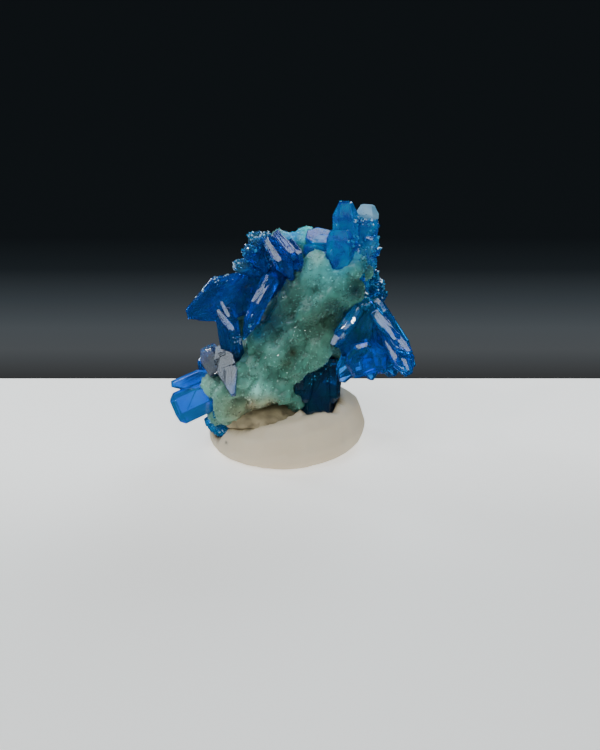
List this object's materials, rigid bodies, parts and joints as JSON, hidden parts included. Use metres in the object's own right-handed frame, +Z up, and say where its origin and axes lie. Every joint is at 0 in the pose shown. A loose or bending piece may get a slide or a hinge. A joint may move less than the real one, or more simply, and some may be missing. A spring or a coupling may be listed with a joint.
{
  "type": "mineral specimen",
  "caption": "Thumbnail mineral specimen: a knobbly green crust on brown rock, ringed with blue tabular crystals, standing in a lump of white putty.",
  "frame": {"origin": "centre of the putty's flat underside, which rests on the surface", "axes": "+Z up, +X to the right and -Y towards the viewer of the specimen's display side"},
  "size_m": [0.0193, 0.0117, 0.0199],
  "materials": {
    "putty": "smooth matt",
    "matrix_rock": "rough",
    "green_crust": "translucent, sparkling druse",
    "blue_crystal": "clear, glassy faces"
  },
  "bodies": {
    "root": {"mounting_putty": "putty", "matrix_rock": "matrix_rock", "green_crust": "green_crust", "upper_left_crystals": "blue_crystal", "right_fan_crystals": "blue_crystal", "top_crystals": "blue_crystal", "slanted_blade": "blue_crystal", "base_crystal": "blue_crystal", "left_prisms": "blue_crystal", "lower_left_prism": "blue_crystal", "foot_crystals": "blue_crystal", "back_top_crystals": "blue_crystal", "back_blade": "blue_crystal", "back_prisms": "blue_crystal", "back_low_crystals": "blue_crystal"}
  },
  "joints": []
}
